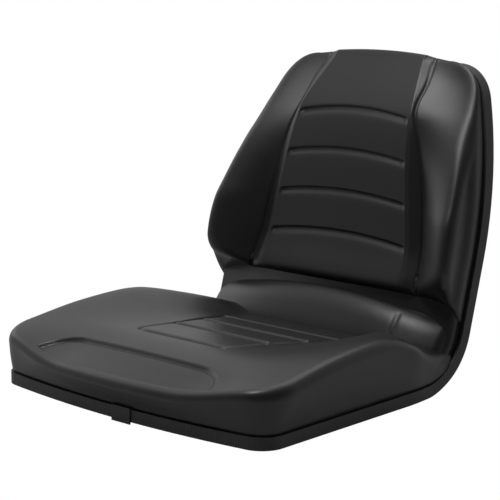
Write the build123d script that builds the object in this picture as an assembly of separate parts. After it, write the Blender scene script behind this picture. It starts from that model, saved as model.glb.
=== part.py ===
from build123d import *
import os
from math import cos, radians, sin, tan

# Operator seat for a garden machine: a pressed pan, a moulded cushion, an edge
# trim, a joint clip and four weld nuts. Millimetres. The seat faces -Y, Z is up,
# X runs across. The origin is the middle of the bolt pattern, on the underside
# of the pan's mounting plateau.

# Rim of the pan: plan view
RIM_FRONT = 200.0          # front of the rim ahead of the bolt pattern
RIM_HALF = 245.5           # half width of the rim at its front corners
RIM_HALF_MID = 231.5       # half width where the sides begin to draw in
RIM_HALF_NECK = 221.5      # half width at the bend and the lower back
RIM_MID = 300.0            # from the front to where the sides begin to draw in
FRONT_BOW = 20.0           # how far the front edge bulges forward
CORNER_R = 32.0            # front corners
# Rim of the pan: side view
RIM_Z = 25.0               # top line of the trim above the mounting plane
BEND_AT = 345.0            # from the front to the start of the bend
BEND_R = 80.0              # bend, measured on the trim's top line
RECLINE = 15.5             # degrees that the back leans behind the vertical
# Rim of the back, heights above the trim's top line
BACK_TOP = 406.0           # middle of the top edge
BACK_NARROW = 150.0        # where the back begins to narrow
SHOULDER_HALF = 184.0      # half width at the shoulder
SHOULDER_Z = 362.0
TOP_HALF = 118.0           # where the rounded corner meets the top edge

# Pressed sheet and trim
SHEET = 1.5
TRIM_H = 16.0              # visible height of the trim
TRIM_OUT = 1.5             # outer face of the trim outside the rim line
TRIM_LEG = 2.0             # outer leg and web of the trim
TRIM_INNER = 1.6           # inner leg of the trim
TRIM_INNER_H = 9.0
PAN_UNDER = 17.0           # underside of the pan floor below the trim's top line

# Mounting plateau with four threaded points
PLATEAU_X = 340.0
PLATEAU_Y = 332.0
PLATEAU_R = 30.0
BOLT_X = 280.0
BOLT_Y = 280.0
BOLT_HOLE = 9.0
NUT_BORE = 6.8
NUT_AF = 13.0
NUT_H = 6.5
BACK_FIELD_W = 240.0       # field pressed out of the back for stiffness
BACK_FIELD_H = 210.0
BACK_FIELD_DEEP = 5.0
BACK_FIELD_Z = 235.0       # its middle above the trim's top line

# Joint clip of the trim
CLIP_W = 34.0
CLIP_T = 1.6
CLIP_DOWN = 3.0            # how far it reaches below the trim
CLIP_LAP = 2.8             # how far it laps over the trim's top
CLIP_X = 15.0              # off the middle

# Cushion, heights above the trim's top line
SEAT_LIP = 36.0            # front crease
SEAT_CREST = 67.0          # highest line of the seat panel, behind its front
SEAT_LOW = 46.0            # seat panel at its rear
BOLSTER_TOP = 80.0         # side bolsters of the seat
SEAT_OVERHANG = 9.0        # cushion over the trim at the sides
FRONT_OVERHANG = 19.0      # cushion over the trim at the front
SEAT_PANEL_HALF = 95.0
FRONT_PANEL_HALF = 171.0   # front panel of the seat, at its front and rear
FRONT_PANEL_REAR = 140.0
HIP_TOP = 98.0             # roll between seat and back
HIP_END = 79.0
BACK_LOW = 109.0           # lower edge of the back cushion, middle
BACK_LOW_RISE = 25.0       # how much higher it is at the sides
BACK_CROWN = 421.0         # highest point of the back cushion
BACK_PANEL_HALF = 128.0
PANEL_STEP = 4.0           # how far the back panel stands out
FOAM_CORE = 22.0           # foam over the pan in the crook
GROOVE_W = 4.2             # side of the square that cuts the stitched lines
ROW_ARCH = 10.0            # rise of the back's stitched lines in the middle
BACK_ROWS = (160.0, 217.0, 274.0, 331.0)
SEAT_STATIONS = (-60, -20, 15, 51, 100, 160, 215, 263, 303, 340, 375, 420)
BACK_STATIONS = (60, 112, 160, 200, 235, 270, 310, 349, 380, 415, 460)
SEAT_ROWS = ((115.0, 84.0), (187.0, 89.0), (250.0, 101.0), (307.0, 107.0))


def y_at(v):
    """Distance behind the rim's front to a position in the frame."""
    return v - RIM_FRONT


def z_at(h):
    """Height above the trim's top line to a height in the frame."""
    return h + RIM_Z


def back_y(h, ahead=0.0):
    """Position of the back's rim plane at a height, and a distance ahead of it."""
    lean = radians(RECLINE)
    y_end = BEND_AT + BEND_R * cos(lean)
    h_end = BEND_R * (1 - sin(lean))
    return y_at(y_end + (h - h_end) * tan(lean) - ahead / cos(lean))


def back_plane(ahead):
    """Plane of the reclined back at a distance ahead of its rim, drawn from below upward."""
    lean = radians(RECLINE)
    start = (0, back_y(0, ahead), z_at(0))
    return Plane(start, x_dir=(1, 0, 0), z_dir=(0, -cos(lean), sin(lean)))


def smooth(t):
    """Ease from 0 to 1."""
    t = min(max(t, 0.0), 1.0)
    return t * t * (3 - 2 * t)


def curve(t, knots):
    """Smooth value at t through a few (position, value) knots."""
    t = min(max(t, knots[0][0]), knots[-1][0])
    n = len(knots)
    slope = []
    for i in range(n):
        a = knots[max(i - 1, 0)]
        b = knots[min(i + 1, n - 1)]
        slope.append((b[1] - a[1]) / (b[0] - a[0]))
    for i in range(n - 1):
        (a, va), (b, vb) = knots[i], knots[i + 1]
        if t <= b:
            k = (t - a) / (b - a)
            w = b - a
            return ((1 + 2 * k) * (1 - k) ** 2 * va + k * (1 - k) ** 2 * w * slope[i]
                    + k * k * (3 - 2 * k) * vb + k * k * (k - 1) * w * slope[i + 1])
    return knots[-1][1]


def spine_band(low, high):
    """L-shaped band across the seat, between two distances from the rim's top line."""
    lean = radians(RECLINE)
    turn = 90 - RECLINE
    start = y_at(-90)
    reach = 460.0
    bend = (y_at(BEND_AT), z_at(BEND_R))

    def run(off):
        base = Line((start, z_at(off)), (bend[0], z_at(off)))
        arc = CenterArc(bend, BEND_R - off, -90, turn)
        end = arc @ 1
        rise = Line(end, (end.X + reach * sin(lean), end.Y + reach * cos(lean)))
        return base, arc, rise

    lower, upper = run(low), run(high)
    cap = Line(lower[2] @ 1, upper[2] @ 1)
    front = Line(lower[0] @ 0, upper[0] @ 0)
    outline = Plane.YZ * make_face([*lower, *upper, cap, front])
    return extrude(outline, 320, both=True)


def above(off):
    """Everything on the sitter's side of a distance from the rim's top line."""
    lean = radians(RECLINE)
    bend = (y_at(BEND_AT), z_at(BEND_R))
    start, reach = y_at(-90), 460.0
    base = Line((start, z_at(off)), (bend[0], z_at(off)))
    arc = CenterArc(bend, BEND_R - off, -90, 90 - RECLINE)
    end = arc @ 1
    tip = (end.X + reach * sin(lean), end.Y + reach * cos(lean))
    rest = Polyline(end, tip, (start, tip[1]), (start, z_at(off)))
    return extrude(Plane.YZ * make_face([base, arc, *rest.edges()]), 320, both=True)


def plan_face(side, front, neck, bow, corner_r, rear=720.0):
    """Plan outline of the rim, with its sides, front and neck moved out by distances."""
    tip = y_at(-front)
    wide = RIM_HALF + side
    corner = (wide, tip + bow)
    mid = (RIM_HALF_MID + side, y_at(RIM_MID))
    waist = (RIM_HALF_NECK + neck, y_at(BEND_AT + 0.6 * BEND_R))
    taper = Vector(RIM_HALF_MID - RIM_HALF, RIM_MID)
    right = [Line(corner, mid), Spline([mid, waist], tangents=[taper, (0, 1)])]
    right.append(Line(waist, (waist[0], y_at(rear))))
    left = [mirror(e, about=Plane.YZ) for e in right]
    edge = ThreePointArc((-wide, corner[1]), (0, tip), corner)
    close = Line((-waist[0], y_at(rear)), (waist[0], y_at(rear)))
    face = make_face([edge, *right, *left, close])
    fronts = face.vertices().sort_by(Axis.Y)[:2]
    return fillet(fronts, corner_r)


def back_face(neck, shoulder, lift, top, crown, low, rise, stretch=1.0):
    """Outline of the back, its neck and shoulder moved out and its shoulder lifted."""
    side = RIM_HALF_NECK + neck
    pts = [(side, BACK_NARROW), (SHOULDER_HALF + shoulder, SHOULDER_Z + lift),
           (TOP_HALF, top - crown), (0, top)]
    pts = [(x, h * stretch) for x, h in pts]
    foot = (side, (low + rise) * stretch)
    chest = TangentArc(pts[:2], tangent=(0, 1))
    corner = TangentArc(pts[1:3], tangent=chest % 1)
    right = [Line(foot, pts[0]), chest, corner]
    left = [mirror(e, about=Plane.YZ) for e in right]
    crest = ThreePointArc(pts[2], pts[3], (-pts[2][0], pts[2][1]))
    sag = ThreePointArc((-side, foot[1]), (0, (low - 1) * stretch), foot)
    return make_face([*right, *left, crest, sag])


def rim_prism(out):
    """Everything inside the rim, moved out by a distance: plan and front view together."""
    plan = extrude(plan_face(out, out, out, FRONT_BOW, CORNER_R + out), 700, both=True)
    low = 0.75 * BEND_R
    wide = Pos(0, low - 150) * Rectangle(600, 302)
    upper = back_face(out, out, 0.5 * out, BACK_TOP + out, 2, low, 0)
    front = Plane.XZ * (upper + wide)
    return plan & Pos(0, 0, RIM_Z) * extrude(front, 900, both=True)


def block(plane, width, height, radius, depth):
    """Rounded rectangular block standing on a plane."""
    return extrude(plane * RectangleRounded(width, height, radius), depth)


def make_trim():
    """U-shaped strip over the pan's edge, all round."""
    wall = TRIM_OUT - TRIM_LEG
    inner = wall - SHEET
    outside = rim_prism(TRIM_OUT)
    strip = spine_band(-TRIM_H, 0) & (outside - rim_prism(inner - TRIM_INNER))
    slot = spine_band(-TRIM_H - 1, -TRIM_LEG) & (rim_prism(wall) - rim_prism(inner))
    below = spine_band(-TRIM_H - 1, -TRIM_INNER_H) & rim_prism(wall)
    return strip - slot - below


def make_pan():
    """Pressed tray: base, bend and back in one, with a wall all round."""
    wall = TRIM_OUT - TRIM_LEG
    outer = spine_band(-PAN_UNDER, -TRIM_LEG) & rim_prism(wall)
    floor = SHEET - PAN_UNDER
    inner = spine_band(floor, 40) & rim_prism(wall - SHEET)
    deep = RIM_Z - PAN_UNDER
    outer += block(Plane.XY, PLATEAU_X, PLATEAU_Y, PLATEAU_R, deep)
    inner += block(Plane.XY.offset(SHEET), PLATEAU_X - 2 * SHEET, PLATEAU_Y - 2 * SHEET,
                   PLATEAU_R - SHEET, deep)
    middle = Pos(0, BACK_FIELD_Z, 0)
    behind = back_plane(-PAN_UNDER - BACK_FIELD_DEEP) * middle
    outer += block(Plane(behind), BACK_FIELD_W, BACK_FIELD_H, 24, BACK_FIELD_DEEP)
    behind = back_plane(floor - BACK_FIELD_DEEP) * middle
    inner += block(Plane(behind), BACK_FIELD_W - 2 * SHEET, BACK_FIELD_H - 2 * SHEET,
                   24 - SHEET, BACK_FIELD_DEEP)
    pan = outer - inner
    holes = GridLocations(BOLT_X, BOLT_Y, 2, 2) * Cylinder(BOLT_HOLE / 2, 10)
    pan -= holes
    return pan


def make_nuts():
    """Four weld nuts on the inside of the plateau."""
    hexagon = RegularPolygon(NUT_AF / 2, 6, major_radius=False) - Circle(NUT_BORE / 2)
    nut = Pos(0, 0, SHEET) * extrude(hexagon, NUT_H)
    return [place * nut for place in GridLocations(BOLT_X, BOLT_Y, 2, 2)]


def make_clip():
    """Small saddle over the joint of the trim at the front."""
    height = TRIM_H + CLIP_DOWN + CLIP_T
    around = Pos(CLIP_X, y_at(0), z_at(CLIP_T) - height / 2) * Box(CLIP_W, 60, height)
    outer = rim_prism(TRIM_OUT + CLIP_T) - rim_prism(TRIM_OUT - CLIP_LAP)
    strip = spine_band(-TRIM_H - CLIP_DOWN - 1, 0) & rim_prism(TRIM_OUT)
    return (around & outer) - strip


def seat_height(x, v):
    """Height of the seat's top at a place across and behind the rim's front."""
    wide = abs(x)
    bowed = v - FRONT_OVERHANG * (wide / 171) ** 2 * (1 - smooth(v / 140))
    middle = curve(bowed, [(-60, SEAT_LIP - 22), (-20, SEAT_LIP), (15, 0.55 * (SEAT_LIP + SEAT_CREST) - 7),
                           (51, SEAT_CREST - 6), (100, SEAT_CREST), (187, SEAT_CREST - 5),
                           (307, SEAT_LOW + 3), (350, SEAT_LOW), (460, SEAT_LOW - 2)])
    crest = curve(v, [(-60, BOLSTER_TOP - 50), (0, BOLSTER_TOP - 30), (76, BOLSTER_TOP - 16),
                      (145, BOLSTER_TOP - 5), (224, BOLSTER_TOP + 1), (263, BOLSTER_TOP - 1),
                      (303, BOLSTER_TOP - 9), (340, BOLSTER_TOP - 19), (380, BOLSTER_TOP - 32)])
    edge = curve(v, [(224, BOLSTER_TOP), (263, BOLSTER_TOP - 3), (303, BOLSTER_TOP - 17),
                     (338, BOLSTER_TOP - 35), (370, BOLSTER_TOP - 48), (420, BOLSTER_TOP - 55)])
    spot = curve(v, [(210, RIM_HALF_MID), (263, RIM_HALF_MID - 10), (303, RIM_HALF_MID - 42),
                     (340, RIM_HALF_MID - 72), (420, RIM_HALF_MID - 84)])
    if wide < spot:
        return middle + (crest - middle) * smooth((wide - SEAT_PANEL_HALF) / (spot - SEAT_PANEL_HALF))
    fall = smooth((wide - spot) / (RIM_HALF + 5 - spot))
    return crest + (min(edge, crest) - crest) * fall


def panel_front(h):
    """Front of the back panel at a height, behind the rim's front."""
    return curve(h, [(60, 390), (112, 399), (160, 417), (216, 426), (274, 435), (332, 451),
                     (360, 468), (415, 511), (470, 552)])


def panel_half(h):
    """Half width of the back panel at a height."""
    return curve(h, [(60, BACK_PANEL_HALF + 12), (160, BACK_PANEL_HALF), (274, BACK_PANEL_HALF - 16),
                     (332, BACK_PANEL_HALF - 26), (470, BACK_PANEL_HALF - 44)])


def back_front(x, h):
    """Front of the back cushion beside the panel, behind the rim's front."""
    wide = abs(x)
    ridge = curve(h, [(60, 392), (112, 386), (155, 387), (200, 396), (231, 408), (293, 443),
                      (349, 483), (380, 502), (415, 519), (470, 554)])
    ridge_half = curve(h, [(60, 222), (155, 221), (262, 202), (324, 187), (380, 165), (470, 120)])
    step = curve(h, [(60, PANEL_STEP), (230, PANEL_STEP), (342, PANEL_STEP + 5), (470, PANEL_STEP + 5)])
    inner = panel_half(h)
    panel = panel_front(h) + step
    return panel + (ridge - panel) * smooth((wide - inner) / (ridge_half - inner))


def steps(a, b, n):
    """Evenly spaced numbers."""
    return [a + (b - a) * i / n for i in range(n + 1)]


def seat_body():
    """Everything below the dished top of the seat, section by section from front to rear."""
    def section(v):
        pts = [(x, z_at(seat_height(x, v))) for x in steps(-290, 290, 14)]
        low = z_at(-30)
        rest = Polyline(pts[-1], (290, low), (-290, low), pts[0])
        return Plane.XZ.offset(-y_at(v)) * make_face([Spline(pts), *rest.edges()])

    return loft([section(v) for v in SEAT_STATIONS], ruled=True)


def back_body():
    """Everything behind the front of the back beside its panel, from below upward."""
    def section(h):
        pts = [(x, y_at(back_front(x, h))) for x in steps(-260, 260, 16)]
        deep = y_at(720)
        rest = Polyline(pts[-1], (260, deep), (-260, deep), pts[0])
        return Plane.XY.offset(z_at(h)) * make_face([Spline(pts), *rest.edges()])

    return loft([section(h) for h in BACK_STATIONS], ruled=True)


def seam(path):
    """Cutter with a square section on its corner, along a line on the cushion."""
    start = Plane(path @ 0, z_dir=path % 0)
    section = start * Rot(0, 0, 45) * Rectangle(GROOVE_W, GROOVE_W)
    return sweep(section, path=path, transition=Transition.RIGHT)


def seat_seams():
    """Stitched lines of the seat: its inset panel and its front panel."""
    def along(spots):
        return Polyline([(x, y_at(v), z_at(seat_height(x, v))) for x, v in spots])

    rear, front = FRONT_PANEL_REAR, FRONT_PANEL_HALF
    lines = [along([(-half, v), (half, v)]) for v, half in SEAT_ROWS]
    lines.append(along([(x, 51) for x in steps(-rear, rear, 4)]))
    for s in (-1, 1):
        lines.append(along([(s * half, v) for v, half in SEAT_ROWS]))
        lines.append(along([(s * (rear + (front - rear) * k), 51 - 52 * k) for k in (0, 0.4, 0.9)]))
    return [seam(line) for line in lines]


def back_seams():
    """Arched stitched lines across the back panel."""
    lines = []
    for h in BACK_ROWS:
        half = panel_half(h)
        end = (y_at(panel_front(h)), z_at(h))
        top = (0, y_at(panel_front(h + ROW_ARCH)), z_at(h + ROW_ARCH))
        lines.append(ThreePointArc((-half, *end), top, (half, *end)))
    return [seam(line) for line in lines]


def panel_body(start, depth):
    """The back panel's side profile across the seat, from a distance behind its front."""
    heights = steps(70, 460, 13)
    front = [(y_at(panel_front(h) + start), z_at(h)) for h in heights]
    rear = [(y + depth, z) for y, z in front]
    outline = [Spline(front), Spline(rear), Line(front[0], rear[0]), Line(front[-1], rear[-1])]
    return extrude(Plane.YZ.offset(-170) * make_face(outline), 340)


def make_seat_lobe():
    """Seat part: its outline in plan, flaring out over the trim, under the dished top."""
    rear = BEND_AT + 66
    over, ahead = SEAT_OVERHANG, FRONT_OVERHANG
    levels = [(1, -3, -2, -3, 0, -3), (20, 0.2 * over, 0.35 * ahead, -1, 8, 9),
              (38, over, ahead, 0, 20, 20), (60, over + 1, ahead - 1, -2, 20, 22),
              (110, over - 3, ahead - 6, -6, 20, 20)]
    body = loft([Pos(0, 0, z_at(h)) * plan_face(side, front, neck, FRONT_BOW + bow, CORNER_R + r, rear)
                 for h, side, front, neck, bow, r in levels], ruled=True)

    lobe = body & seat_body()
    for cutter in seat_seams():
        lobe -= cutter
    return lobe


def make_back_lobe():
    """Back part: its outline seen from the front, under the bolsters and the panel."""
    stretch = 1 / cos(radians(RECLINE))
    crown = BACK_CROWN
    low, rise = BACK_LOW, BACK_LOW_RISE
    levels = [(1, -4, -3, 5, crown - 2, low - 42, 0), (34, -1, -5, 6, crown, low, 0.35 * rise),
              (55, -3, -12, 2, crown - 4, low, rise), (75, -9, -18, -4, crown - 10, low + 3, 1.1 * rise),
              (100, -20, -28, -10, crown - 20, low + 8, 1.3 * rise)]
    body = loft([back_plane(w) * back_face(neck, shoulder, lift, top, 8, foot, up, stretch)
                 for w, neck, shoulder, lift, top, foot, up in levels], ruled=True)
    edge = [(panel_half(h), z_at(h)) for h in steps(75, 455, 4)]
    sides = [Spline(edge), Spline([(-x, z) for x, z in edge])]
    ends = [Line((-edge[i][0], edge[i][1]), edge[i]) for i in (0, -1)]
    pad = panel_body(0, 220) & extrude(Plane.XZ * make_face(sides + ends), 600, both=True)
    for cutter in back_seams():
        pad -= cutter
    return body & (back_body() + pad)


def make_hip_roll():
    """Roll in the crook between seat and back, its ends lower and drawn back."""
    half = RIM_HALF_NECK - 16
    low = (y_at(BEND_AT), z_at(14))
    brow = (y_at(BEND_AT + 7), z_at(HIP_TOP - 48))
    top = (y_at(BEND_AT + 47), z_at(HIP_TOP))
    deep = (y_at(BEND_AT + 74), z_at(HIP_TOP))
    round_top = ThreePointArc(brow, (y_at(BEND_AT + 20), z_at(HIP_TOP - 16)), top)
    rest = Polyline(top, deep, (y_at(BEND_AT + 80), z_at(30)), low, brow)
    roll = extrude(Plane.YZ.offset(-half) * make_face([round_top, *rest.edges()]), 2 * half)
    ends = [(half, z_at(HIP_END)), (half, 0), (-half, 0), (-half, z_at(HIP_END))]
    arch = ThreePointArc(ends[3], (0, z_at(HIP_TOP)), ends[0])
    roll &= extrude(Plane.XZ * make_face([arch, *Polyline(ends).edges()]), 600, both=True)
    turn = [(half, y_at(BEND_AT + 42)), (half, y_at(BEND_AT + 90)), (-half, y_at(BEND_AT + 90)),
            (-half, y_at(BEND_AT + 42))]
    bow = ThreePointArc(turn[3], (0, y_at(BEND_AT - 6)), turn[0])
    return roll & extrude(make_face([bow, *Polyline(turn).edges()]), 300)


def make_cushion():
    """Seat, hip roll and back in one moulded piece that fills the pan."""
    fill = TRIM_OUT - TRIM_LEG - SHEET - TRIM_INNER
    body = spine_band(SHEET - PAN_UNDER, 2) & rim_prism(fill)
    crook = Pos(0, y_at(BEND_AT + 80), z_at(60)) * Box(2 * RIM_HALF, 210, 160)
    body += spine_band(1, FOAM_CORE) & rim_prism(fill - 1) & crook
    body += make_seat_lobe() & above(1)
    body += make_hip_roll() & above(1)
    body += make_back_lobe()
    return body


if __name__ == "__main__":
    os.makedirs("parts", exist_ok=True)
    cushion = make_cushion()
    print("cushion", cushion.volume, cushion.is_valid, len(cushion.solids()))
    export_step(cushion, "parts/cushion.step")
    trim = make_trim()
    print("trim", trim.volume, trim.is_valid, len(trim.solids()))
    export_step(trim, "parts/edge_trim.step")
    pan = make_pan()
    print("pan", pan.volume, pan.is_valid, len(pan.solids()))
    export_step(pan, "parts/seat_pan.step")
    clip = make_clip()
    print("clip", clip.volume, clip.is_valid, len(clip.solids()))
    export_step(clip, "parts/trim_joint_clip.step")
    nuts = make_nuts()
    export_step(Compound(children=nuts), "parts/weld_nuts.step")
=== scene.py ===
import math
import bpy
import numpy as np
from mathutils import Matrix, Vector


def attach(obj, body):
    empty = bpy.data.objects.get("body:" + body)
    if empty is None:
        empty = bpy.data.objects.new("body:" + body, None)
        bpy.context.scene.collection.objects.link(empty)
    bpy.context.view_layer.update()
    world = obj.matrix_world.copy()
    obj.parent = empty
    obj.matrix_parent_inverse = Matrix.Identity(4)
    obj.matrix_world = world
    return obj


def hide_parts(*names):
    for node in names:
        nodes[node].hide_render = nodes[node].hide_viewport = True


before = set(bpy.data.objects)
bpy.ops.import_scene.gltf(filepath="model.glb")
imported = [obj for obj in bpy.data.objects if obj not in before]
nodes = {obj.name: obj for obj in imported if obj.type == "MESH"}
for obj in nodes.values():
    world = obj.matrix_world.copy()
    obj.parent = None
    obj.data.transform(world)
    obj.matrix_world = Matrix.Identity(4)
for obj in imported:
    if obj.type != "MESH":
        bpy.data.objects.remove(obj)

# Looks of the operator seat. Sizes are in millimetres in the same frame as the part:
# v is the distance behind the rim's front, h the height above the trim's top line and
# w the distance ahead of the reclined back's rim plane. to_world turns them into metres.

MM = 0.001
RIM_FRONT = 200.0
RIM_Z = 25.0
RIM_HALF = 245.5
RIM_HALF_MID = 231.5
RIM_HALF_NECK = 221.5
RIM_MID = 300.0
FRONT_BOW = 20.0
CORNER_R = 32.0
BEND_AT = 345.0
BEND_R = 80.0
RECLINE = math.radians(15.5)
BACK_NARROW = 150.0
SHOULDER_HALF = 184.0
SHOULDER_Z = 362.0
TOP_HALF = 118.0

SEAT_LIP = 36.0
SEAT_CREST = 67.0
SEAT_LOW = 46.0
BOLSTER_TOP = 82.0
SEAT_OVERHANG = 9.0
FRONT_OVERHANG = 19.0
SEAT_PANEL_HALF = 95.0
SEAT_REAR = 404.0
FRONT_PANEL_HALF = 171.0
FRONT_PANEL_REAR = 140.0
FRONT_PANEL_V = 51.0
SEAT_ROWS = ((115.0, 84.0), (187.0, 89.0), (250.0, 101.0), (307.0, 107.0))
HIP_TOP = 98.0
HIP_END = 71.0
HIP_PLEAT = 146.0
BACK_LOW = 109.0
BACK_LOW_RISE = 25.0
BACK_CROWN = 421.0
BACK_PANEL_HALF = 128.0
FOAM_CORE = 22.0
ROW_ARCH = 10.0
BACK_ROWS = (160.0, 217.0, 274.0, 331.0)
BOLSTER_SWELL = 1.7
WALL_FLARE = 1.6
WALL_SWELL = 1.5
CROWN_DROP = 8.0
CORE_TOP = 130.0
CORE_REACH = 0.9

# How the cushion's grids are laid out: their half width in even steps, where the seat's rows
# run straight across, how far inside an edge its slope is taken and which slopes are kept.
GRID_HALF = 215.0
SEAT_SETTLE = 140.0
PROBE = 1.5
SLOPE_RANGE = (-0.6, 1.0)

# Looks, in metres and radians.
WELD_REACH = 0.00002
THIN_FACE = 0.000005
RIB_PITCH = 0.0036
WHITE = (1, 1, 1, 1)
FLOOR_TONE = (0.58, 0.58, 0.58, 1)
BRIGHT_SIDE = (-0.7, 0.714, 0.0)
BRIGHT_LEVEL = 0.68
BRIGHT_FROM = 0.9
DIM_LEVEL = 0.04
DIM_FROM = -0.85
AIM_BACK = (0, 0.15, 0.3)
AIM_SEAT = (0, 0.1, 0.15)
CAMERA_PLACE = (1.6375, -1.6412, 0.6168)
CAMERA_DIP = 0.179278
CAMERA_TURN = 0.770727
CAMERA_LENS = 128.74
SENSOR_WIDTH = 36.0

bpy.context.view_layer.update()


def smooth(t):
    """Ease from 0 to 1."""
    t = np.clip(t, 0.0, 1.0)
    return t * t * (3 - 2 * t)


def through(t, at, values):
    """Smooth values at t through knots; values may differ from place to place."""
    at = np.asarray(at, float)
    values = np.asarray(values, float)
    rows = np.arange(len(at))
    before, after = np.maximum(rows - 1, 0), np.minimum(rows + 1, len(at) - 1)
    gap = (at[after] - at[before]).reshape(-1, *[1] * (values.ndim - 1))
    slope = (values[after] - values[before]) / gap
    t = np.clip(t, at[0], at[-1])
    i = np.clip(np.searchsorted(at, t, side="right") - 1, 0, len(at) - 2)
    width = at[i + 1] - at[i]
    k = (t - at[i]) / width

    def pick(table, row):
        """A knot's value, or its values from place to place."""
        return table[row] if table.ndim == 1 else table[row, np.arange(table.shape[1])]

    begin, end = pick(values, i), pick(values, i + 1)
    leave, arrive = pick(slope, i), pick(slope, i + 1)
    return ((1 + 2 * k) * (1 - k) ** 2 * begin + k * (1 - k) ** 2 * width * leave
            + k * k * (3 - 2 * k) * end + k * k * (k - 1) * width * arrive)


def curve(t, knots):
    """Smooth values through a few (position, value) knots."""
    at, values = zip(*knots)
    return through(np.asarray(t, float), at, values)


def spaced(stops):
    """Numbers from stop to stop; each entry is (stop, step up to the next one)."""
    out = []
    for (a, step), (b, _) in zip(stops, stops[1:]):
        out.extend(np.linspace(a, b, max(1, round((b - a) / step)), endpoint=False))
    return np.array(out + [stops[-1][0]])


def rim_y(h):
    """The back's rim plane, behind the rim's front, at a height."""
    end_v = BEND_AT + BEND_R * math.cos(RECLINE)
    end_h = BEND_R * (1 - math.sin(RECLINE))
    return end_v + (h - end_h) * math.tan(RECLINE)


def to_world(x, v, h):
    """Millimetres across, behind the rim's front and above the trim to metres in the frame."""
    x, v, h = np.broadcast_arrays(x, v, h)
    return np.stack([x, v - RIM_FRONT, h + RIM_Z], axis=-1) * MM


def groove(t, depth, above, below):
    """Depth of a stitched line at a signed distance, with its own width on either side."""
    return depth * np.exp(-(t / np.where(t > 0, above, below)) ** 2)


class Shell:
    """Collects grids of points into one mesh."""

    def __init__(self):
        self.points, self.faces, self.caps = [], [], []

    def cap(self, loop):
        """Close an opening with one flat face."""
        first = sum(len(p) for p in self.points)
        self.points.append(loop)
        self.caps.append(list(range(first, first + len(loop))))

    def add(self, grid, flip=False):
        """Add a grid of points with a face between each four."""
        rows, cols = grid.shape[:2]
        first = sum(len(p) for p in self.points)
        ids = first + np.arange(rows * cols).reshape(rows, cols)
        quads = np.stack([ids[:-1, :-1], ids[:-1, 1:], ids[1:, 1:], ids[1:, :-1]], axis=-1).reshape(-1, 4)
        self.points.append(grid.reshape(-1, 3))
        self.faces.append(quads[:, ::-1] if flip else quads)

    def build(self, name):
        """Join the grids where they meet and make one smooth object."""
        mesh = bpy.data.meshes.new(name)
        faces = np.concatenate(self.faces).tolist() + self.caps
        mesh.from_pydata(np.concatenate(self.points).tolist(), [], faces)
        obj = bpy.data.objects.new(name, mesh)
        bpy.context.scene.collection.objects.link(obj)
        weld = obj.modifiers.new("weld", "WELD")
        weld.merge_threshold = WELD_REACH
        bpy.context.view_layer.objects.active = obj
        bpy.ops.object.modifier_apply(modifier="weld")
        bpy.ops.object.mode_set(mode="EDIT")
        bpy.ops.mesh.select_all(action="SELECT")
        bpy.ops.mesh.dissolve_degenerate(threshold=THIN_FACE)
        bpy.ops.mesh.normals_make_consistent(inside=False)
        bpy.ops.object.mode_set(mode="OBJECT")
        mesh.shade_smooth()
        return obj


def seat_height(x, v):
    """Height of the seat's top without its stitched lines."""
    wide = np.abs(x)
    bowed = v - FRONT_OVERHANG * (wide / FRONT_PANEL_HALF) ** 2 * (1 - smooth(v / SEAT_SETTLE))
    middle = curve(bowed, [(-60, SEAT_LIP - 22), (-20, SEAT_LIP), (15, 0.55 * (SEAT_LIP + SEAT_CREST) - 7),
                           (51, SEAT_CREST - 6), (100, SEAT_CREST), (187, SEAT_CREST - 5),
                           (307, SEAT_LOW + 3), (350, SEAT_LOW), (460, SEAT_LOW - 2)])
    crest = curve(v, [(-60, BOLSTER_TOP - 50), (0, BOLSTER_TOP - 30), (76, BOLSTER_TOP - 16),
                      (145, BOLSTER_TOP - 5), (224, BOLSTER_TOP + 1), (263, BOLSTER_TOP - 1),
                      (303, BOLSTER_TOP - 9), (340, BOLSTER_TOP - 19), (380, BOLSTER_TOP - 32)])
    edge = curve(v, [(224, BOLSTER_TOP), (263, BOLSTER_TOP - 3), (303, BOLSTER_TOP - 17),
                     (338, BOLSTER_TOP - 35), (370, BOLSTER_TOP - 48), (420, BOLSTER_TOP - 55)])
    spot = curve(v, [(210, RIM_HALF_MID), (263, RIM_HALF_MID - 10), (303, RIM_HALF_MID - 42),
                     (340, RIM_HALF_MID - 72), (420, RIM_HALF_MID - 84)])
    inside = middle + (crest - middle) * smooth((wide - SEAT_PANEL_HALF) / (spot - SEAT_PANEL_HALF))
    fall = smooth((wide - spot) / (RIM_HALF + 5 - spot))
    return np.where(wide < spot, inside, crest + (np.minimum(edge, crest) - crest) * fall)


def inside_corner(a, b, radius):
    """Distance inside two edges that meet in a rounded corner."""
    return radius - np.hypot(np.maximum(radius - a, 0), np.maximum(radius - b, 0)) + np.minimum(
        np.maximum(np.minimum(a, b) - radius, 0), 50)


def seat_details(x, v):
    """How deep the seat's stitched lines and sunk panels lie below its top."""
    wide = np.abs(x)
    half = curve(v, SEAT_ROWS)
    front, rear = SEAT_ROWS[0][0], SEAT_ROWS[-1][0]
    within = inside_corner(half - wide, v - front, 13)
    along = smooth((rear + 4 - v) / 10)
    deep = along * (groove(within, 3.0, 2.0, 3.2) - 0.8 * smooth((within - 2) / 6))
    for row, reach in SEAT_ROWS[1:]:
        across = smooth((reach - wide) / 5)
        deep = deep + across * (groove(v - row, 3.0, 2.0, 4.0) - groove(v - row - 6, 1.0, 4.0, 2.5))
    slant = (FRONT_PANEL_HALF - FRONT_PANEL_REAR) / 52
    edge = FRONT_PANEL_REAR + slant * (FRONT_PANEL_V - v)
    within = inside_corner((edge - wide) / math.hypot(1, slant), FRONT_PANEL_V - v, 26)
    sunk = 3.2 * smooth((within + 1) / 4) + groove(within - 2, 1.6, 3.6, 1.6)
    bowed = v - FRONT_OVERHANG * (wide / FRONT_PANEL_HALF) ** 2
    deep = deep + sunk * smooth((bowed + 11) / 8)
    return deep


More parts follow.
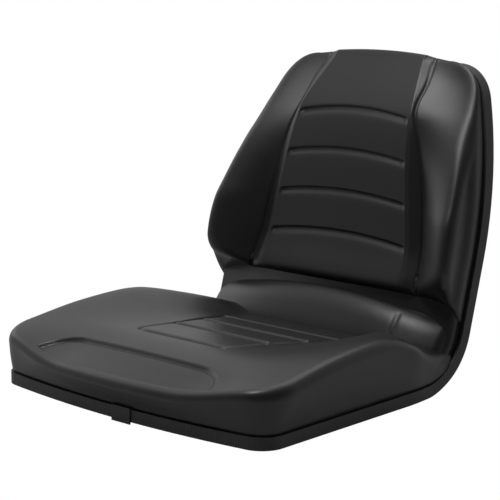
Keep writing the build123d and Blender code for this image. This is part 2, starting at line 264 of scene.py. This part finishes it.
def seat_top(x, v):
    """Height of the seat's top with its stitched lines and panels."""
    return seat_height(x, v) - seat_details(x, v)


def seat_outline(side, front, neck, bow, radius):
    """Right half of the seat's outline in plan, closely spaced, and where its corner's middle is."""
    tip, wide = -front, RIM_HALF + side
    big = (wide ** 2 + bow ** 2) / (2 * bow)
    mid = np.array([RIM_HALF_MID + side, RIM_MID])
    waist = np.array([RIM_HALF_NECK + neck, BEND_AT + 0.6 * BEND_R])
    line = mid - np.array([wide, tip + bow])
    line = line / np.linalg.norm(line)
    inward = np.array([-line[1], line[0]])
    base = np.array([wide, tip + bow]) + inward * radius - np.array([0, tip + big])
    along = base @ line
    step = -along - math.sqrt(along ** 2 - base @ base + (big - radius) ** 2)
    step = step if step > 0 else -along + math.sqrt(along ** 2 - base @ base + (big - radius) ** 2)
    middle = np.array([wide, tip + bow]) + inward * radius + line * step
    out_front = middle - np.array([0, tip + big])
    begin, finish = math.atan2(out_front[1], out_front[0]), math.atan2(-inward[1], -inward[0])
    sweep = np.linspace(-math.pi / 2, begin, 60)
    edge = np.stack([big * np.cos(sweep), tip + big + big * np.sin(sweep)], axis=1)
    turn = np.linspace(begin, finish, 41)
    corner = middle + radius * np.stack([np.cos(turn), np.sin(turn)], axis=1)
    k = np.linspace(0, 1, 40)[:, None]
    reach = np.linalg.norm(waist - mid)
    bend = ((1 + 2 * k) * (1 - k) ** 2 * mid + k * (1 - k) ** 2 * reach * line
            + k * k * (3 - 2 * k) * waist + k * k * (k - 1) * reach * np.array([0.0, 1.0]))
    sides = np.linspace(corner[-1], mid, 40)[1:-1]
    points = np.concatenate([edge[:-1], corner, sides, bend, [[waist[0], 700.0]]])
    return points, len(edge) - 1 + 20


def seat_ring(level, across, back):
    """Points of one outline, by share of the front's half width and of the side's length."""
    points, corner = seat_outline(*level)
    x_end, v_end = points[corner]
    x = across * x_end
    front = np.stack([x, np.interp(x, points[:corner + 1, 0], points[:corner + 1, 1])], axis=1)
    v = v_end + back * (SEAT_REAR - v_end)
    side = np.stack([np.interp(v, points[corner:, 1], points[corner:, 0]), v], axis=1)
    return np.concatenate([front, side[1:]])


def outward(ring):
    """Unit normals of an outline that runs from the front's middle to the rear."""
    d = np.gradient(ring, axis=0)
    d[0] = (1, 0)
    n = np.stack([d[:, 1], -d[:, 0]], axis=1)
    return n / np.linalg.norm(n, axis=1)[:, None]


def both_sides(half):
    """Right half of a ring, from the middle on, to the whole ring from left to right."""
    left = half[:0:-1].copy()
    left[:, 0] *= -1
    return np.concatenate([left, half])


def underside(x, v, h):
    """Strip that closes a half ring with its mirror image."""
    return to_world(np.stack([-x, x], axis=1), v[:, None], h[:, None])


def add_seat(shell):
    """Seat: its dished top, the rounded edge and the wall down to the trim."""
    over, ahead = SEAT_OVERHANG, FRONT_OVERHANG
    tucked = (-6, -6, -6, FRONT_BOW, CORNER_R - 6)
    seated = (-0.5, -0.5, -1, FRONT_BOW, CORNER_R)
    widest = (over + 1, ahead, -1, FRONT_BOW + 20, CORNER_R + 22)
    across = spaced([(0, 5), (70, 1.4), (100, 1.5), (156, 3), (GRID_HALF, 1)]) / GRID_HALF
    centre = spaced([(-9, 2.5), (26, 1.3), (60, 3), (105, 1.2), (123, 4), (178, 1.2), (195, 4), (241, 1.2),
                     (258, 4), (298, 1.2), (315, 3.5), (SEAT_REAR, 1)])
    points, corner = seat_outline(*widest)
    v_corner = points[corner, 1]
    share = (centre - centre[0]) / (SEAT_SETTLE - centre[0])
    side_v = np.where(centre < SEAT_SETTLE, v_corner + (SEAT_SETTLE - v_corner) * share, centre)
    back = (side_v - v_corner) / (SEAT_REAR - v_corner)
    low, base, outer = (seat_ring(level, across, back) for level in (tucked, seated, widest))
    n = outward(outer)
    inset = curve(outer[:, 1], [(-30, 7), (0, 8), (28, 15), (70, 15), (300, 13), (420, 10)])
    inner = outer - n * inset[:, None]

    count = len(across)
    front, side = inner[:count], inner[count - 1:]
    u = across[None, :]
    reach = side[:, :1]
    x = u * reach
    v = centre[:, None] + (side[:, 1:] - centre[:, None]) * u ** 2
    fade = 1 - smooth((centre - centre[0]) / 110)[:, None]
    dx = front[None, :, 0] - x[:1]
    dv = front[None, :, 1] - v[:1]
    x = x + dx * fade
    v = v + dv * fade
    half = to_world(x, v, seat_top(x, v))
    left = half[:, :0:-1] * np.array([-1, 1, 1])
    top = np.concatenate([left, half], axis=1)
    shell.add(top)

    h_in = seat_top(*inner.T)
    slope = (seat_top(*(inner - PROBE * n).T) - h_in) / PROBE
    h_out = h_in - np.clip(slope, *SLOPE_RANGE) * inset
    drop = np.minimum(inset + 3, 0.4 * h_out)

    def wall(share):
        """The wall at a share of the way from the trim to the widest line."""
        swell = WALL_SWELL * math.sin(math.pi * share)
        place = base + (outer - base) * share ** WALL_FLARE + n * swell
        return np.column_stack([place, share * (h_out - drop) + 1.5])

    crest = np.column_stack([inner, h_in])
    foot = wall(1.0)
    peak = np.column_stack([outer, h_out])
    lines = []
    for k in np.linspace(0, 1, 12):
        lines.append((1 - k) ** 2 * crest + 2 * k * (1 - k) * peak + k * k * foot)
    for share in np.linspace(1, 0, 13)[1:]:
        lines.append(wall(share))
    lines.append(np.column_stack([base - 2.2 * n, np.full(len(base), 0.4)]))
    lines.append(np.column_stack([low, np.full(len(base), -3.0)]))
    whole = np.array([both_sides(line) for line in lines])
    whole = to_world(whole[..., 0], whole[..., 1], whole[..., 2])
    shell.add(whole)
    shell.add(underside(lines[-1][:, 0], lines[-1][:, 1], lines[-1][:, 2]))
    shell.cap(np.concatenate([top[-1], whole[1:, -1], whole[:0:-1, 0]]))


def panel_front(h):
    """Front of the back panel at a height, behind the rim's front."""
    return curve(h, [(60, 390), (112, 399), (160, 417), (216, 426), (274, 435), (332, 451),
                     (360, 468), (415, 511), (470, 552)])


def panel_half(h):
    """Half width of the back panel at a height."""
    return curve(h, [(60, BACK_PANEL_HALF + 12), (160, BACK_PANEL_HALF), (274, BACK_PANEL_HALF - 16),
                     (338, BACK_PANEL_HALF - 26), (378, BACK_PANEL_HALF - 38),
                     (415, BACK_PANEL_HALF - 50), (470, BACK_PANEL_HALF - 66)])


def row_arch(x, h):
    """How much a stitched line of the back has risen at a place across."""
    return ROW_ARCH * np.clip(1 - (x / panel_half(h)) ** 2, 0, 1)


def back_front(x, h):
    """Front of the back cushion: raised panel with sloped sides, bolsters and stitched lines."""
    wide = np.abs(x)
    ridge = curve(h, [(60, 386), (112, 377), (155, 379), (200, 391), (231, 408), (293, 443),
                      (349, 483), (380, 502), (415, 519), (470, 554)])
    ridge_half = curve(h, [(60, 222), (155, 221), (262, 202), (324, 187), (380, 165), (470, 120)])
    edge = panel_half(h)
    slope_wide = curve(h, [(60, 18), (160, 20), (250, 19), (310, 11), (345, 4), (378, 12), (415, 16)])
    slope_deep = curve(h, [(60, 8), (160, 9), (250, 11), (310, 7), (345, 3), (378, 6), (415, 8)])
    valley = edge + slope_wide
    panel = panel_front(h)
    floor = panel + slope_deep
    t = np.clip((wide - valley) / (ridge_half - valley), 0, 1)
    bolster = floor + (ridge - floor) * (1 - (1 - t) ** BOLSTER_SWELL)
    bolster = np.where(wide > ridge_half, ridge, bolster)
    side = panel + slope_deep * np.clip((wide - edge) / slope_wide, 0, 1)
    front = np.where(wide < valley, side, bolster)
    front = front + groove(wide - valley, 1.6, 2.4, 2.0) * smooth((h - 100) / 20)
    front = front + groove(wide - edge, 0.9, 1.4, 1.4) * (1 - smooth((h - 330) / 12))
    for row in BACK_ROWS:
        within = smooth((edge - 3 - wide) / 7)
        front = front + within * groove(h - row - row_arch(x, h), 4.4, 2.2, 5.5)
    return front


def back_ahead(x, h):
    """Distance of the back's front ahead of its rim plane."""
    return (rim_y(h) - back_front(x, h)) * math.cos(RECLINE)


def arc(a, b, tangent, n):
    """Points of the arc from a to b that starts along a tangent, and its end tangent."""
    a, b, t = np.array(a, float), np.array(b, float), np.array(tangent, float)
    t = t / np.linalg.norm(t)
    normal = np.array([-t[1], t[0]])
    d = b - a
    radius = (d @ d) / (2 * (d @ normal))
    centre = a + normal * radius
    begin = math.atan2(*(a - centre)[::-1])
    end = math.atan2(*(b - centre)[::-1])
    turn = np.linspace(begin, end, n)
    points = centre + abs(radius) * np.stack([np.cos(turn), np.sin(turn)], axis=1)
    return points, np.array([-math.sin(end), math.cos(end)]) * math.copysign(1, radius)


def back_outline(neck, shoulder, lift, top, low, rise, soft):
    """Right half of the back's outline from its lower middle round to its top, and its two corners."""
    side = RIM_HALF_NECK + neck
    x = np.linspace(0, side - soft, 40)
    sag = np.stack([x, low + rise * (x / side) ** (2 if rise > 0 else 12)], axis=1)
    foot = np.array([side, low + rise])
    k = np.linspace(0, 1, 21)[1:, None]
    bend = (1 - k) ** 2 * sag[-1] + 2 * k * (1 - k) * foot + k * k * (foot + np.array([0, soft]))
    narrow = np.array([side, max(BACK_NARROW, foot[1] + soft + 2)])
    chest, along = arc(narrow, (SHOULDER_HALF + shoulder, SHOULDER_Z + lift), (0, 1), 50)
    corner, _ = arc(chest[-1], (TOP_HALF, top - CROWN_DROP), along, 41)
    x = np.linspace(TOP_HALF, 0, 30)[1:]
    crest = np.stack([x, top - CROWN_DROP * (x / TOP_HALF) ** 2], axis=1)
    points = np.concatenate([sag, bend, chest, corner[1:], crest])
    return points, len(sag) + 9, len(sag) + len(bend) + len(chest) + 19


def back_ring(level, low_share, side_share, top_share):
    """Points of one outline of the back by shares of its lower edge, side and top edge."""
    points, low, high = back_outline(*level)
    x = low_share * points[low, 0]
    bottom = np.stack([x, np.interp(x, points[:low + 1, 0], points[:low + 1, 1])], axis=1)
    h = points[low, 1] + side_share * (points[high, 1] - points[low, 1])
    side = np.stack([np.interp(h, points[low:high + 1, 1], points[low:high + 1, 0]), h], axis=1)
    x = top_share * points[high, 0]
    upper = points[high:][::-1]
    top = np.stack([x, np.interp(x, upper[:, 0], upper[:, 1])], axis=1)
    return np.concatenate([bottom, side[1:], top[::-1][1:]])


def add_back(shell):
    """Back: its panel and bolsters, the rounded edge and the wall down to the trim."""
    crown, low, rise = BACK_CROWN, BACK_LOW, BACK_LOW_RISE
    levels = [(-4, (-7, -6, 2, crown - 9, low - 36, -8, 6)), (1, (-3, -3, 4, crown - 5, low - 32, -10, 8)),
              (8, (-1, -3, 5, crown - 1, low - 24, -14, 10)), (20, (1, -4, 6, crown, low - 10, -16, 12)),
              (34, (-2, -8, 6, crown, low, -12, 12)), (55, (2, -11, 2, crown - 4, low, 0.7 * rise, 20)),
              (75, (-1, -18, -4, crown - 10, low + 3, 0.9 * rise, 22))]
    at = [w for w, _ in levels]
    column = spaced([(0, 4), (0.47 * GRID_HALF, 1.3), (0.66 * GRID_HALF, 2.6), (GRID_HALF, 1)]) / GRID_HALF
    rows = spaced([(118, 3.5), (151, 1.2), (168, 3.5), (208, 1.2), (225, 3.5), (265, 1.2), (282, 3.5),
                   (322, 1.2), (339, 3.5), (416, 1)])
    side_h = curve(rows, [(118, 134), (170, 172), (300, 296), (416, 398)])
    side_share = (side_h - side_h[0]) / (side_h[-1] - side_h[0])

    def x_share(h, reach):
        """Shares of the way out at a height: the inner half of the columns spans the panel."""
        panel = panel_half(h)
        beyond = panel + (reach - panel) * (2 * column - 1)
        return np.where(column < 0.5, panel * 2 * column, beyond) / reach

    low_share, top_share = x_share(118.0, 208.0), x_share(416.0, 150.0)
    rings = np.array([back_ring(level, low_share, side_share, top_share) for _, level in levels])

    def ring_at(w):
        """The outline at a distance ahead of the rim plane."""
        return np.stack([through(w, at, rings[:, :, 0]), through(w, at, rings[:, :, 1])], axis=1)

    ahead = np.full(rings.shape[1], 34.0)
    for _ in range(6):
        outer = ring_at(np.clip(ahead, 1, 74))
        ahead = 0.5 * ahead + 0.5 * back_ahead(*outer.T)
    d = np.gradient(outer, axis=0)
    d[0], d[-1] = (1, 0), (-1, 0)
    n = np.stack([d[:, 1], -d[:, 0]], axis=1)
    n = n / np.linalg.norm(n, axis=1)[:, None]
    inset = curve(outer[:, 1], [(105, 9), (135, 15), (300, 17), (380, 12), (425, 7)])
    inner = outer - n * inset[:, None]

    count, tall = len(column), len(rows)
    bottom, side, top = inner[:count], inner[count - 1:count + tall - 1], inner[count + tall - 2:][::-1]
    reach, end_h = side[:, :1], side[:, 1:]
    hp = rows[:, None]
    panel = panel_half(hp)
    u = column[None, :]
    x = np.where(u < 0.5, panel * 2 * u, panel + (reach - panel) * (2 * u - 1))
    arch = curve(rows, [(118, -9), (150, 9), (170, 10), (340, 10), (416, 5)])[:, None]
    h = np.where(u < 0.5, hp + arch * (1 - (2 * u) ** 2), hp + (end_h - hp) * (2 * u - 1))
    low_fade = 1 - smooth((rows - rows[0]) / 36)[:, None]
    top_fade = 1 - smooth((rows[-1] - rows) / 60)[:, None]
    dx = (bottom[None, :, 0] - x[:1]) * low_fade + (top[None, :, 0] - x[-1:]) * top_fade
    dh = (bottom[None, :, 1] - h[:1]) * low_fade + (top[None, :, 1] - h[-1:]) * top_fade
    x, h = x + dx, h + dh
    half = to_world(x, back_front(x, h), h)
    left = half[:, :0:-1] * np.array([-1, 1, 1])
    shell.add(np.concatenate([left, half], axis=1))

    w_in = back_ahead(*inner.T)
    slope = np.clip((back_ahead(*(inner - PROBE * n).T) - w_in) / PROBE, *SLOPE_RANGE)
    w_out = np.maximum(w_in - slope * inset, 3.0)
    drop = np.minimum(inset + 2, 0.5 * w_out)
    crest = np.column_stack([inner, w_in])
    peak = np.column_stack([ring_at(np.minimum(w_out, 74)) + 2.5 * n, w_out])
    foot = np.column_stack([ring_at(w_out - drop), w_out - drop])
    lines = []
    for k in np.linspace(0, 1, 10):
        lines.append((1 - k) ** 2 * crest + 2 * k * (1 - k) * peak + k * k * foot)
    for k in np.linspace(0, 1, 12)[1:]:
        w = (w_out - drop) * (1 - k) + at[0] * k
        lines.append(np.column_stack([ring_at(w), w]))
    right = np.array(lines)
    v = rim_y(right[..., 1]) - right[..., 2] / math.cos(RECLINE)
    grid = to_world(right[..., 0], v, right[..., 1])
    shell.add(grid)
    shell.add(grid * np.array([-1, 1, 1]), flip=True)
    shell.add(underside(right[-1, :, 0], v[-1], right[-1, :, 1]))


def add_hip_roll(shell):
    """Roll in the crook, its ends lower, drawn back and rounded."""
    half, soft = RIM_HALF_NECK - 8, 11.0
    x = spaced([(-half, 1.2), (-half + 30, 3), (half - 60, 1.2), (half, 1)])
    k = np.linspace(0, 1, 36)
    v = curve(k, [(0, 350), (0.25, 351), (0.5, 364), (0.72, 378), (0.88, 391), (0.95, 400), (1, 412)])
    h = curve(k, [(0, 6), (0.25, 42), (0.5, 71), (0.72, 89), (0.88, 96), (0.95, 94), (1, 82)])
    bow = (x / half) ** 2
    past = np.clip((np.abs(x) - half + soft) / soft, 0, 1)
    full = np.cbrt(np.clip(1 - past ** 3, 0, 1))[None, :]
    lower = smooth((0.82 - k) / 0.14) * smooth((k - 0.2) / 0.1)
    pleat = lower[:, None] * groove(x - HIP_PLEAT + 10 * (k[:, None] - 0.5), 2.6, 1.8, 4.0)
    vv = v[:, None] + 28 * bow[None, :] ** 2 + pleat
    hh = h[:, None] - (HIP_TOP - HIP_END) * bow[None, :] * (h[:, None] / HIP_TOP)
    core_v, core_h = 404.0, 42.0
    vv = core_v + (vv - core_v) * full
    hh = core_h + (hh - core_h) * full
    grid = to_world(np.broadcast_to(x, hh.shape), vv, hh)
    shell.add(np.concatenate([grid, grid[:1]]))


def add_core(shell):
    """Foam in the crook behind the roll, between its sides."""
    half = RIM_HALF_NECK - 5
    turn = np.linspace(-math.pi / 2, -RECLINE, 30)
    radius = BEND_R - FOAM_CORE
    v = BEND_AT + radius * np.cos(turn)
    h = BEND_R + radius * np.sin(turn)
    top = np.linspace(h[-1], CORE_TOP, 12)[1:]
    v = np.concatenate([v, v[-1] + (top - h[-1]) * math.tan(RECLINE)])
    h = np.concatenate([h, top])
    deep_v = np.concatenate([BEND_AT + BEND_R * np.cos(turn), rim_y(top)])
    deep_h = np.concatenate([BEND_R + BEND_R * np.sin(turn), top])
    front = np.stack([v, h], axis=1)
    behind = front + CORE_REACH * (np.stack([deep_v, deep_h], axis=1) - front)
    x = np.array([-half - 2, -half, -half + 6, half - 6, half, half + 2])
    rings = []
    for share in (1.0, 0.3, 0.0, 0.0, 0.3, 1.0):
        face = front + share * (behind - front)
        rings.append(np.concatenate([face, behind[::-1], face[:1]]))
    loop = np.stack(rings, axis=1)
    shell.add(to_world(x, loop[..., 0], loop[..., 1]))


def make_cushion():
    """The moulded cushion in one piece."""
    shell = Shell()
    add_seat(shell)
    add_back(shell)
    add_hip_roll(shell)
    add_core(shell)
    cushion = shell.build("cushion_cover")
    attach(cushion, "root")
    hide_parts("cushion")
    return cushion


class Nodes:
    """Short way to add and link shader nodes."""

    def __init__(self, name):
        self.material = bpy.data.materials.new(name)
        self.material.use_nodes = True
        self.tree = self.material.node_tree
        self.bsdf = self.tree.nodes["Principled BSDF"]

    def add(self, kind, **values):
        node = self.tree.nodes.new(kind)
        for key, value in values.items():
            if key in node.inputs:
                node.inputs[key].default_value = value
            else:
                setattr(node, key, value)
        return node

    def link(self, a, b):
        self.tree.links.new(a, b)

    def math(self, operation, a, b=None):
        node = self.add("ShaderNodeMath", operation=operation)
        for socket, value in zip(node.inputs, (a, b)):
            if isinstance(value, (int, float)):
                socket.default_value = value
            elif value is not None:
                self.link(value, socket)
        return node.outputs[0]

    def noise(self, scale, detail=2.0):
        where = self.add("ShaderNodeTexCoord")
        noise = self.add("ShaderNodeTexNoise", Scale=scale, Detail=detail)
        self.link(where.outputs["Object"], noise.inputs["Vector"])
        return noise.outputs["Fac"]

    def between(self, value, low, high):
        ramp = self.add("ShaderNodeMapRange")
        ramp.inputs["To Min"].default_value = low
        ramp.inputs["To Max"].default_value = high
        self.link(value, ramp.inputs["Value"])
        return ramp.outputs["Result"]

    def bump(self, height, distance, strength=1.0, under=None):
        bump = self.add("ShaderNodeBump", Strength=strength, Distance=distance)
        self.link(height, bump.inputs["Height"])
        if under is not None:
            self.link(under, bump.inputs["Normal"])
        return bump.outputs["Normal"]


def vinyl():
    """Black vinyl skin: satin, with a fine leather grain."""
    m = Nodes("vinyl_skin")
    m.link(m.between(m.noise(9, 3), 0.012, 0.017), m.bsdf.inputs["Base Color"])
    where = m.add("ShaderNodeTexCoord")
    grain = m.add("ShaderNodeTexVoronoi", Scale=900.0, feature="SMOOTH_F1")
    m.link(where.outputs["Object"], grain.inputs["Vector"])
    m.link(m.between(m.noise(14, 4), 0.36, 0.44), m.bsdf.inputs["Roughness"])
    ripple = m.bump(m.noise(60, 2), 0.0004, 0.35)
    m.link(m.bump(grain.outputs["Distance"], 0.00025, 0.35, ripple), m.bsdf.inputs["Normal"])
    m.bsdf.inputs["Specular IOR Level"].default_value = 0.5
    return m.material


def trim_rubber():
    """Dull black strip with fine ribs across it."""
    m = Nodes("trim_rubber")
    m.link(m.between(m.noise(25, 3), 0.019, 0.029), m.bsdf.inputs["Base Color"])
    where = m.add("ShaderNodeTexCoord")
    place = m.add("ShaderNodeSeparateXYZ")
    m.link(where.outputs["Object"], place.inputs["Vector"])
    facing = m.add("ShaderNodeNewGeometry")
    turned = m.add("ShaderNodeSeparateXYZ")
    m.link(facing.outputs["True Normal"], turned.inputs["Vector"])
    sideways = m.math("GREATER_THAN", m.math("ABSOLUTE", turned.outputs["X"]), 0.6)
    run = m.math("ADD", place.outputs["Y"], place.outputs["Z"])
    across = m.math("SUBTRACT", place.outputs["X"], run)
    along = m.math("SUBTRACT", place.outputs["X"], m.math("MULTIPLY", across, sideways))
    ribs = m.math("SINE", m.math("MULTIPLY", along, 2 * math.pi / RIB_PITCH))
    m.link(m.between(m.noise(40, 3), 0.5, 0.62), m.bsdf.inputs["Roughness"])
    fine = m.bump(m.noise(900, 2), 0.0001, 0.3)
    m.link(m.bump(ribs, 0.0003, 0.5, fine), m.bsdf.inputs["Normal"])
    return m.material


def pan_paint():
    """Black powder coat."""
    m = Nodes("pan_paint")
    m.link(m.between(m.noise(18, 3), 0.018, 0.026), m.bsdf.inputs["Base Color"])
    m.link(m.between(m.noise(30, 3), 0.42, 0.52), m.bsdf.inputs["Roughness"])
    m.link(m.bump(m.noise(1400, 1), 0.0001, 0.3), m.bsdf.inputs["Normal"])
    return m.material


def clip_plastic():
    """Black moulded clip."""
    m = Nodes("clip_plastic")
    m.bsdf.inputs["Base Color"].default_value = (0.009, 0.009, 0.009, 1)
    m.link(m.between(m.noise(90, 3), 0.38, 0.5), m.bsdf.inputs["Roughness"])
    m.link(m.bump(m.noise(1200, 1), 0.0001, 0.25), m.bsdf.inputs["Normal"])
    return m.material


def nut_steel():
    """Plain zinc-plated steel."""
    m = Nodes("nut_steel")
    m.bsdf.inputs["Base Color"].default_value = (0.55, 0.55, 0.56, 1)
    m.bsdf.inputs["Metallic"].default_value = 1.0
    m.link(m.between(m.noise(200, 3), 0.3, 0.45), m.bsdf.inputs["Roughness"])
    m.link(m.bump(m.noise(900, 2), 0.0001, 0.2), m.bsdf.inputs["Normal"])
    return m.material


def dress(obj, material):
    """Give a piece one material."""
    obj.data.materials.clear()
    obj.data.materials.append(material)


def white_ground():
    """Pale floor that shows as white to the camera and lights the object as a plain pale floor."""
    bpy.ops.mesh.primitive_plane_add(size=12, location=(0, 0, -0.0006))
    floor = bpy.context.object
    floor.name = "floor"
    m = Nodes("pale_floor")
    m.bsdf.inputs["Base Color"].default_value = FLOOR_TONE
    m.bsdf.inputs["Roughness"].default_value = 0.8
    plain = m.add("ShaderNodeEmission", Color=WHITE, Strength=1.0)
    ray = m.add("ShaderNodeLightPath")
    mix = m.add("ShaderNodeMixShader")
    m.link(ray.outputs["Is Camera Ray"], mix.inputs["Fac"])
    m.link(m.bsdf.outputs[0], mix.inputs[1])
    m.link(plain.outputs[0], mix.inputs[2])
    m.link(mix.outputs[0], m.tree.nodes["Material Output"].inputs["Surface"])
    dress(floor, m.material)


def sky():
    """Studio surroundings: a pale wall behind and to the left, dim on the camera's side."""
    world = bpy.data.worlds.new("studio")
    bpy.context.scene.world = world
    world.use_nodes = True
    tree = world.node_tree
    around = tree.nodes["Background"]
    around.inputs["Color"].default_value = WHITE
    where = tree.nodes.new("ShaderNodeTexCoord")
    toward = tree.nodes.new("ShaderNodeVectorMath")
    toward.operation = "DOT_PRODUCT"
    toward.inputs[1].default_value = BRIGHT_SIDE
    tree.links.new(where.outputs["Generated"], toward.inputs[0])
    level = tree.nodes.new("ShaderNodeMapRange")
    level.interpolation_type = "SMOOTHSTEP"
    level.inputs["From Min"].default_value = DIM_FROM
    level.inputs["From Max"].default_value = BRIGHT_FROM
    level.inputs["To Min"].default_value = DIM_LEVEL
    level.inputs["To Max"].default_value = BRIGHT_LEVEL
    tree.links.new(toward.outputs["Value"], level.inputs["Value"])
    tree.links.new(level.outputs["Result"], around.inputs["Strength"])
    seen = tree.nodes.new("ShaderNodeBackground")
    seen.inputs["Color"].default_value = WHITE
    ray = tree.nodes.new("ShaderNodeLightPath")
    mix = tree.nodes.new("ShaderNodeMixShader")
    tree.links.new(ray.outputs["Is Camera Ray"], mix.inputs["Fac"])
    tree.links.new(around.outputs[0], mix.inputs[1])
    tree.links.new(seen.outputs[0], mix.inputs[2])
    tree.links.new(mix.outputs[0], tree.nodes["World Output"].inputs["Surface"])


def soft_light(name, place, aim, size, power):
    """Large soft box aimed at a point."""
    data = bpy.data.lights.new(name, "AREA")
    data.shape = "RECTANGLE"
    data.size, data.size_y = size
    data.energy = power
    light = bpy.data.objects.new(name, data)
    bpy.context.scene.collection.objects.link(light)
    light.location = place
    back = light.location - Vector(aim)
    light.rotation_euler = back.to_track_quat("Z", "Y").to_euler()


def camera():
    """The photograph's view."""
    data = bpy.data.cameras.new("camera")
    data.sensor_width = SENSOR_WIDTH
    data.lens = CAMERA_LENS
    cam = bpy.data.objects.new("camera", data)
    bpy.context.scene.collection.objects.link(cam)
    cam.location = CAMERA_PLACE
    cam.rotation_euler = (math.pi / 2 - CAMERA_DIP, 0, CAMERA_TURN)
    bpy.context.scene.camera = cam


dress(make_cushion(), vinyl())
dress(nodes["edge_trim"], trim_rubber())
dress(nodes["seat_pan"], pan_paint())
dress(nodes["trim_joint_clip"], clip_plastic())
dress(nodes["weld_nuts"], nut_steel())

white_ground()
sky()
soft_light("left", (-2.0, 0.0, 1.1), AIM_BACK, (1.1, 0.9), 3)
soft_light("front", (-0.28, -0.62, 2.38), AIM_BACK, (0.6, 0.5), 21)
soft_light("top", (-0.3, 1.1, 2.2), AIM_SEAT, (1.6, 1.2), 9)
camera()
bpy.context.scene.view_settings.view_transform = "Standard"
